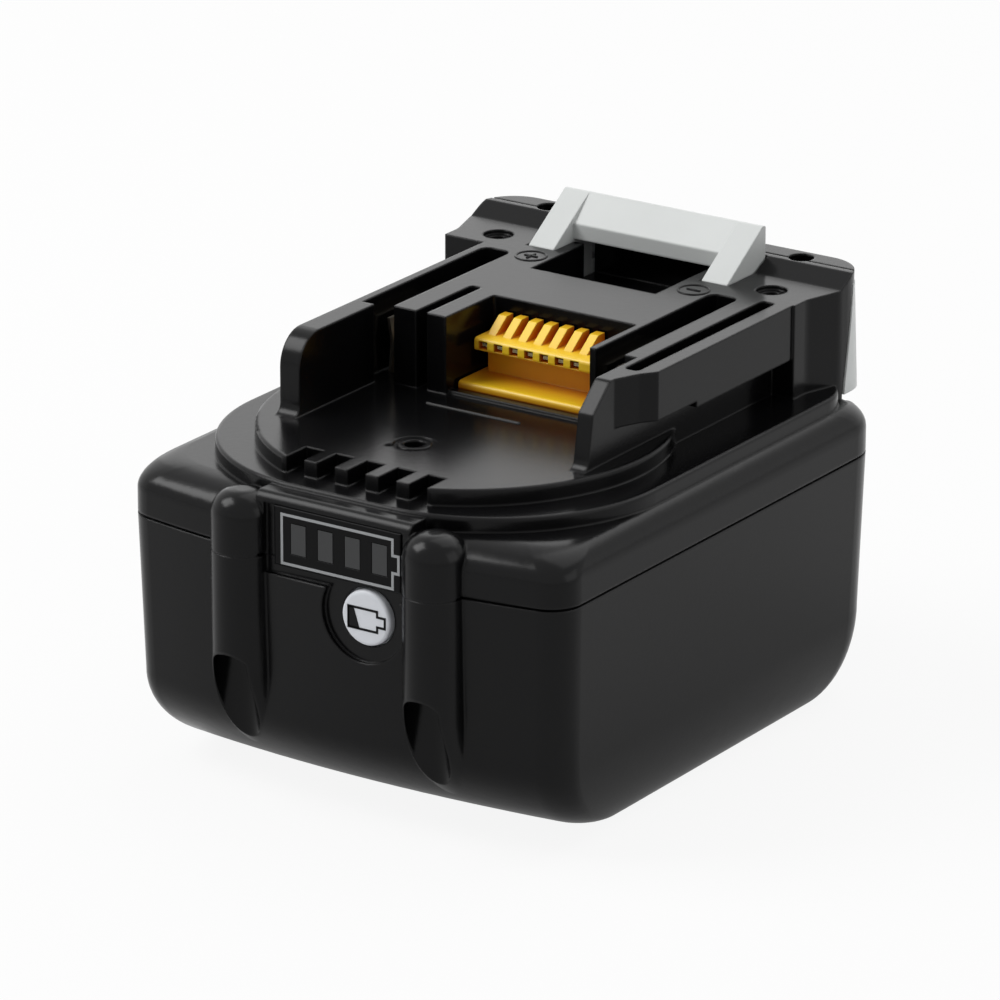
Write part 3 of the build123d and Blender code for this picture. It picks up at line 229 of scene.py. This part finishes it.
def background_share(tree, full, gloss):
    """How much of the white background a ray sees: from the camera or through glass, and in gloss."""
    path = tree.nodes.new("ShaderNodeLightPath")
    straight = tree.nodes.new("ShaderNodeMath")
    straight.operation = "MAXIMUM"
    tree.links.new(path.outputs["Is Camera Ray"], straight.inputs[0])
    tree.links.new(path.outputs["Is Transmission Ray"], straight.inputs[1])
    most = tree.nodes.new("ShaderNodeMath")
    most.operation = "MAXIMUM"
    rays = ((straight.outputs[0], full), (path.outputs["Is Glossy Ray"], gloss))
    for index, (ray, share) in enumerate(rays):
        part = tree.nodes.new("ShaderNodeMath")
        part.operation = "MULTIPLY"
        part.inputs[1].default_value = share
        tree.links.new(ray, part.inputs[0])
        tree.links.new(part.outputs[0], most.inputs[index])
    return most.outputs[0]


def mix_background(tree, lit, glow, full, gloss, output):
    """Ends a tree in its lit shader, and in the glow for the rays that see the white background."""
    mix = tree.nodes.new("ShaderNodeMixShader")
    tree.links.new(background_share(tree, full, gloss), mix.inputs["Fac"])
    tree.links.new(lit.outputs[0], mix.inputs[1])
    tree.links.new(glow.outputs[0], mix.inputs[2])
    end = tree.nodes.new(output)
    tree.links.new(mix.outputs[0], end.inputs["Surface"])


def make_world():
    world = bpy.data.worlds.new("studio")
    scene.world = world
    world.use_nodes = True
    tree = world.node_tree
    tree.nodes.clear()
    light = tree.nodes.new("ShaderNodeBackground")
    light.inputs["Color"].default_value = WHITE
    light.inputs["Strength"].default_value = WORLD_STRENGTH
    plain = tree.nodes.new("ShaderNodeBackground")
    plain.inputs["Color"].default_value = WHITE
    plain.inputs["Strength"].default_value = WHITE_STRENGTH
    mix_background(tree, light, plain, full=1.0, gloss=1.0, output="ShaderNodeOutputWorld")


def make_floor():
    bpy.ops.mesh.primitive_plane_add(size=FLOOR_WIDTH, location=(0, 0, -FLOOR_DROP))
    floor = bpy.context.object
    floor.name = "floor"
    material = bpy.data.materials.new("floor_white")
    material.use_nodes = True
    tree = material.node_tree
    tree.nodes.clear()
    diffuse = tree.nodes.new("ShaderNodeBsdfDiffuse")
    diffuse.inputs["Color"].default_value = (FLOOR_TONE, FLOOR_TONE, FLOOR_TONE, 1)
    glow = tree.nodes.new("ShaderNodeEmission")
    glow.inputs["Color"].default_value = WHITE
    glow.inputs["Strength"].default_value = WHITE_STRENGTH
    mix_background(tree, diffuse, glow, full=FLOOR_GLOW_SHARE, gloss=FLOOR_GLOSS_SHARE,
                   output="ShaderNodeOutputMaterial")
    floor.data.materials.append(material)


# Materials
def noise(tree, where, scale, detail):
    cloud = tree.nodes.new("ShaderNodeTexNoise")
    cloud.inputs["Scale"].default_value = scale
    cloud.inputs["Detail"].default_value = detail
    tree.links.new(where.outputs["Object"], cloud.inputs["Vector"])
    return cloud.outputs["Fac"]


def tinted(color, share, lift=0.0):
    """A colour made lighter or darker, no channel past 1, with its alpha."""
    return (*[min(1, channel * share + lift) for channel in color], 1)


def color_mix(tree, factor):
    mix = tree.nodes.new("ShaderNodeMix")
    mix.data_type = "RGBA"
    tree.links.new(factor, mix.inputs["Factor"])
    return mix


def worn_edges(tree, radius):
    """The rounded normal at sharp edges, and how far it turns from the true one there."""
    bevel = tree.nodes.new("ShaderNodeBevel")
    bevel.samples = EDGE_SAMPLES
    bevel.inputs["Radius"].default_value = radius
    true = tree.nodes.new("ShaderNodeNewGeometry")
    turn = tree.nodes.new("ShaderNodeVectorMath")
    turn.operation = "DOT_PRODUCT"
    tree.links.new(bevel.outputs["Normal"], turn.inputs[0])
    tree.links.new(true.outputs["True Normal"], turn.inputs[1])
    edge = tree.nodes.new("ShaderNodeMapRange")
    edge.inputs["From Min"].default_value = 1.0
    edge.inputs["From Max"].default_value = WORN_TURN
    tree.links.new(turn.outputs["Value"], edge.inputs["Value"])
    return bevel.outputs["Normal"], edge.outputs["Result"]


def moulded(name, color, rough, grain, grain_scale=GRAIN_SCALE, gloss_change=GLOSS_CHANGE, edge=0.0,
            specular=0.5, metallic=0.0):
    """A surface with slight changes of tone and gloss and a fine grain, and worn edges if edge isn't 0."""
    material = bpy.data.materials.new(name)
    material.use_nodes = True
    tree = material.node_tree
    shader = tree.nodes["Principled BSDF"]
    shader.inputs["Specular IOR Level"].default_value = specular
    shader.inputs["Metallic"].default_value = metallic
    where = tree.nodes.new("ShaderNodeTexCoord")
    cloud = noise(tree, where, BLOTCH_SCALE, BLOTCH_DETAIL)

    gloss = tree.nodes.new("ShaderNodeMapRange")
    gloss.inputs["To Min"].default_value = rough - gloss_change
    gloss.inputs["To Max"].default_value = rough + gloss_change
    tree.links.new(cloud, gloss.inputs["Value"])
    tree.links.new(gloss.outputs["Result"], shader.inputs["Roughness"])

    tone = color_mix(tree, cloud)
    tone.inputs["A"].default_value = tinted(color, DARK_SHARE)
    tone.inputs["B"].default_value = tinted(color, LIGHT_SHARE)
    shade = tone.outputs["Result"]

    bump = tree.nodes.new("ShaderNodeBump")
    bump.inputs["Strength"].default_value = grain
    bump.inputs["Distance"].default_value = GRAIN_DEPTH
    tree.links.new(noise(tree, where, grain_scale, GRAIN_DETAIL), bump.inputs["Height"])
    tree.links.new(bump.outputs["Normal"], shader.inputs["Normal"])

    if edge:
        normal, worn = worn_edges(tree, edge)
        rub = color_mix(tree, worn)
        rub.inputs["B"].default_value = tinted(color, WORN_SHARE, WORN_LIFT)
        tree.links.new(shade, rub.inputs["A"])
        shade = rub.outputs["Result"]
        tree.links.new(normal, bump.inputs["Normal"])
    tree.links.new(shade, shader.inputs["Base Color"])
    return material


def paint_hollow_shade(material, shade_color):
    """Paints shade into a plastic's hollows: a deeper colour where ambient occlusion finds near surfaces,
    standing in for shadow and bounced light.
    """
    tree = material.node_tree
    base = tree.nodes["Principled BSDF"].inputs["Base Color"]
    occlusion_shade = tree.nodes.new("ShaderNodeAmbientOcclusion")
    occlusion_shade.samples = SHADE_SAMPLES
    occlusion_shade.inputs["Distance"].default_value = SHADE_REACH
    mix = color_mix(tree, occlusion_shade.outputs["AO"])
    mix.inputs["A"].default_value = tinted(shade_color, 1.0)
    tree.links.new(base.links[0].from_socket, mix.inputs["B"])
    tree.links.new(mix.outputs["Result"], base)


def make_materials():
    materials = {name: moulded(name, **finish) for name, finish in FINISHES.items()}
    # Painted shade: the connector's yellow turns red-brown in its hollows, standing in for shadow and
    # bounced light
    paint_hollow_shade(materials["connector_yellow"], CONNECTOR_PAINTED_SHADE)
    return materials


def dress_nodes(materials):
    for entry in frame["record"]["subparts"]:
        thing = nodes[entry["node"]]
        thing.data.materials.clear()
        thing.data.materials.append(materials[entry["material_slot"]])


# Pieces of the scene's own
def new_piece(name, mesh, material, body):
    data = bpy.data.meshes.new(name)
    bmesh.ops.recalc_face_normals(mesh, faces=mesh.faces)
    mesh.to_mesh(data)
    mesh.free()
    piece = bpy.data.objects.new(name, data)
    scene.collection.objects.link(piece)
    data.materials.append(material)
    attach(piece, body)
    return piece


def add_band(mesh, first, second):
    """Faces between two closed loops of as many vertices."""
    count = len(first)
    for index in range(count):
        after = (index + 1) % count
        mesh.faces.new((first[index], first[after], second[after], second[index]))


# Signs
def battery_outline(left, right, tip, low, high, tip_low, tip_high):
    """A battery lying on its side, as a closed loop of (x, z) points, with its tip at the right."""
    return ((left, low), (right, low), (right, tip_low), (tip, tip_low), (tip, tip_high), (right, tip_high),
            (right, high), (left, high))


def offset_loop(points, distance):
    """The closed loop of (x, z) points, moved to its left by a distance at every side."""
    moved = []
    count = len(points)
    for index, point in enumerate(points):
        here = Vector(point)
        before = (here - Vector(points[index - 1])).normalized()
        after = (Vector(points[(index + 1) % count]) - here).normalized()
        left_before = Vector((-before.y, before.x))
        left_after = Vector((-after.y, after.x))
        middle = (left_before + left_after).normalized()
        moved.append(here + middle * distance / middle.dot(left_before))
    return moved


def upright_loop(mesh, points, y):
    """The vertices of a loop of (x, z) points at one y."""
    return [mesh.verts.new(place(x, y, z)) for x, z in points]


def add_printed_line(mesh, outline, line, face):
    """A closed frame of one line's width along an outline, printed on a face at one y."""
    outer = offset_loop(outline, -line / 2)
    inner = offset_loop(outline, line / 2)
    front = face - PRINT_HEIGHT
    rear = face + PRINT_SINK
    rows = [upright_loop(mesh, points, y)
            for points, y in ((outer, front), (inner, front), (inner, rear), (outer, rear))]
    for first, second in zip(rows, rows[1:] + rows[:1]):
        add_band(mesh, first, second)


def add_printed_patch(mesh, outline, face):
    """A closed plate of an outline, printed on a face at one y."""
    near = upright_loop(mesh, outline, face - PRINT_HEIGHT)
    far = upright_loop(mesh, outline, face + PRINT_SINK)
    mesh.faces.new(near)
    mesh.faces.new(far)
    add_band(mesh, near, far)


def make_gauge_sign(materials):
    mesh = bmesh.new()
    add_printed_line(mesh, battery_outline(**GAUGE_BATTERY), GAUGE_LINE, front_of("gauge_panel"))
    new_piece("gauge_sign", mesh, materials["print_grey"], "pack")


def make_button_sign(materials):
    left, low, high = (BUTTON_BATTERY[side] for side in ("left", "low", "high"))
    fill = ((left, low), (BUTTON_FILL_LOW, low), (BUTTON_FILL_HIGH, high), (left, high))
    face = front_of("check_button")
    mesh = bmesh.new()
    add_printed_line(mesh, battery_outline(**BUTTON_BATTERY), BUTTON_LINE, face)
    add_printed_patch(mesh, fill, face)
    new_piece("button_sign", mesh, materials["print_dark"], "button")


# Polarity marks
def add_mark_ring(mesh, x, y):
    """A low ring with a rounded section, standing on the plate."""
    rows = []
    for step in range(MARK_STEPS):
        angle = 2 * math.pi * step / MARK_STEPS
        row = []
        for side in range(MARK_SIDES):
            lean = 2 * math.pi * side / MARK_SIDES
            out = MARK_RADIUS + MARK_BAND * math.cos(lean)
            height = PLATE_TOP + MARK_HEIGHT * math.sin(lean)
            row.append(mesh.verts.new(place(x + out * math.cos(angle), y + out * math.sin(angle), height)))
        rows.append(row)
    for first, second in zip(rows, rows[1:] + rows[:1]):
        add_band(mesh, first, second)


def add_mark_bar(mesh, x, y, half_x, half_y):
    """A low bar with sloping sides, standing on the plate."""
    rows = []
    for share, height in ((1.0, -MARK_HEIGHT), (1.0, 0.0), (MARK_TOP_SHARE, MARK_HEIGHT)):
        ease = (1 - share) * min(half_x, half_y)
        row = []
        for side_x, side_y in ((-1, -1), (1, -1), (1, 1), (-1, 1)):
            corner = (x + side_x * (half_x - ease), y + side_y * (half_y - ease), PLATE_TOP + height)
            row.append(mesh.verts.new(place(*corner)))
        rows.append(row)
    mesh.faces.new(rows[0])
    mesh.faces.new(rows[-1])
    for low, high in zip(rows, rows[1:]):
        add_band(mesh, low, high)


def make_polarity_marks(materials):
    for name, (x, y) in (("plus_mark", PLUS_PLACE), ("minus_mark", MINUS_PLACE)):
        mesh = bmesh.new()
        add_mark_ring(mesh, x, y)
        add_mark_bar(mesh, x, y, MARK_ARM, MARK_BAND)
        if name == "plus_mark":
            add_mark_bar(mesh, x, y, MARK_BAND, MARK_ARM)
        for face in mesh.faces:
            face.smooth = True
        new_piece(name, mesh, materials["case_black"], "pack")


# Latch springs
def smooth_step(share):
    """A share from 0 to 1, eased at both ends and held there outside them."""
    held = min(max(share, 0.0), 1.0)
    return held * held * (3 - 2 * held)


def spring_heights():
    """The wire's height at each step: closed turns at both ends, open ones between."""
    openings = []
    for step in range(SPRING_TURNS * SPRING_STEPS):
        turn = (step + 0.5) / SPRING_STEPS
        inside = min(turn, SPRING_TURNS - turn) - SPRING_END_TURNS + SPRING_EASE_TURNS / 2
        openings.append(smooth_step(inside / SPRING_EASE_TURNS))
    closed = SPRING_CLOSED_PITCH / SPRING_STEPS
    rest = SPRING_HIGH - SPRING_LOW - closed * len(openings)
    heights = [SPRING_LOW]
    for opening in openings:
        heights.append(heights[-1] + closed + rest * opening / sum(openings))
    return heights


def spring_line(x):
    """The points along the middle of a spring's wire."""
    points = []
    for step, height in enumerate(spring_heights()):
        angle = 2 * math.pi * step / SPRING_STEPS
        out_x = SPRING_RADIUS * math.cos(angle)
        out_y = SPRING_RADIUS * math.sin(angle)
        points.append(place(x + out_x, SPRING_Y + out_y, height))
    return points


def add_wire(mesh, points, middle):
    """A round wire along points that wind about an upright line through the middle."""
    rows = []
    for step, point in enumerate(points):
        along = (points[min(step + 1, len(points) - 1)] - points[max(step - 1, 0)]).normalized()
        out = Vector((point.x - middle.x, point.y - middle.y, 0)).normalized()
        up = along.cross(out)
        row = []
        for side in range(SPRING_SIDES):
            lean = 2 * math.pi * side / SPRING_SIDES
            reach = (out * math.cos(lean) + up * math.sin(lean)) * SPRING_WIRE * MM
            row.append(mesh.verts.new(point + reach))
        rows.append(row)
    mesh.faces.new(rows[0])
    mesh.faces.new(rows[-1])
    for first, second in zip(rows, rows[1:]):
        add_band(mesh, first, second)
    for face in mesh.faces:
        face.smooth = len(face.verts) == 4


def make_springs(materials):
    for name, x in SPRING_PLACES:
        mesh = bmesh.new()
        add_wire(mesh, spring_line(x), place(x, SPRING_Y, 0))
        piece = new_piece(name, mesh, materials["spring_steel"], "pack")
        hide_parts("latch_" + name)
        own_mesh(piece)


make_camera()
make_world()
make_floor()
make_lamps()
materials = make_materials()
dress_nodes(materials)
make_gauge_sign(materials)
make_button_sign(materials)
make_polarity_marks(materials)
make_springs(materials)

scene.view_settings.view_transform = "Standard"
